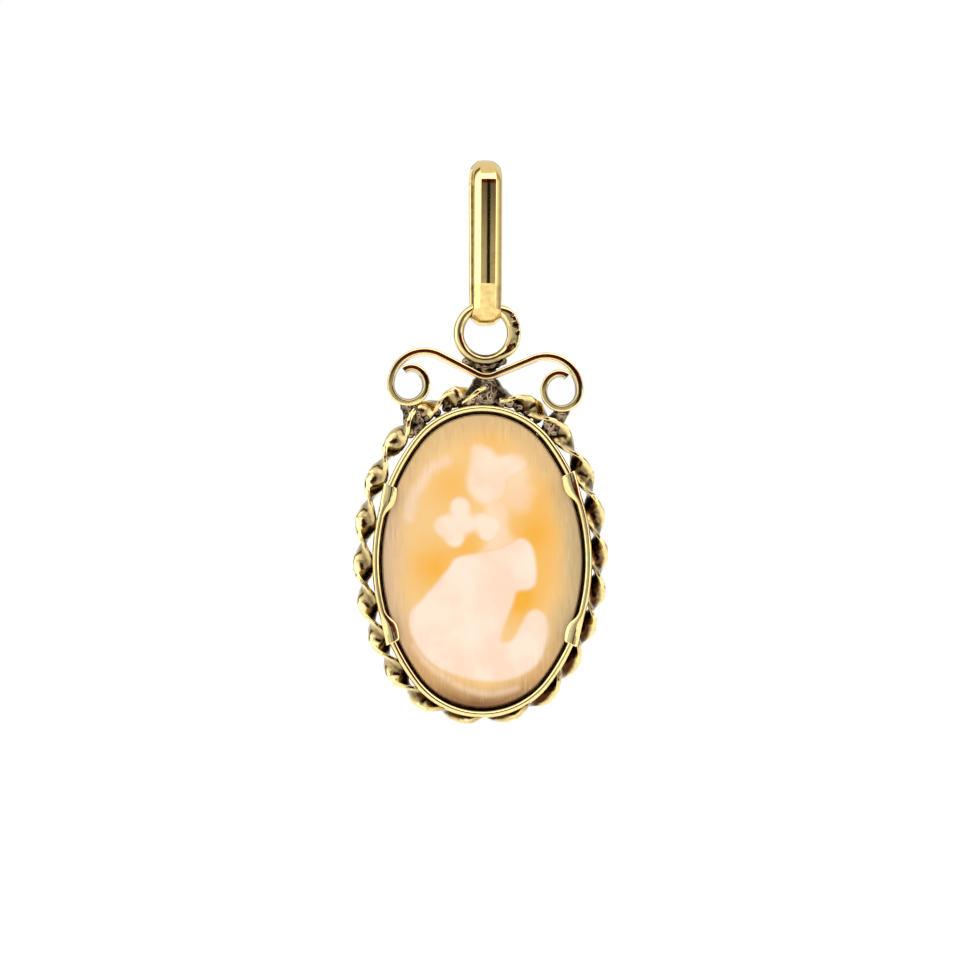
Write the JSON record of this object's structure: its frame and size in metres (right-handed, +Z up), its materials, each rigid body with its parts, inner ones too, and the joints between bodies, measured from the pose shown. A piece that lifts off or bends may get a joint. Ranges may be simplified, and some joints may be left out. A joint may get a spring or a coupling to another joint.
{
  "type": "cameo pendant",
  "caption": "Oval shell cameo in a clawed gold bezel with a twisted-strip border, hung by a scroll and jump ring from a long bail.",
  "frame": {"origin": "middle of the seat under the arch at the bail's top, where the pendant hangs", "axes": "+Z up along the bail, +X to the right as seen from the back of the pendant, +Y towards the carved front"},
  "size_m": [0.0156, 0.0034, 0.0346],
  "materials": {
    "bail_gold": "polished",
    "setting_gold": "polished, darkened in the hollows",
    "shell": "polished carved shell, slightly translucent"
  },
  "bodies": {
    "bail": {"bail": "bail_gold"},
    "pendant": {"setting": "setting_gold", "cameo": "shell"}
  },
  "joints": [
    {"name": "pendant_swing", "type": "hinge", "parent": "bail", "child": "pendant", "pos_m": [0, 0, -0.00826], "axis": [0.9925, 0.1219, 0], "range_deg": [-80, 80]}
  ]
}
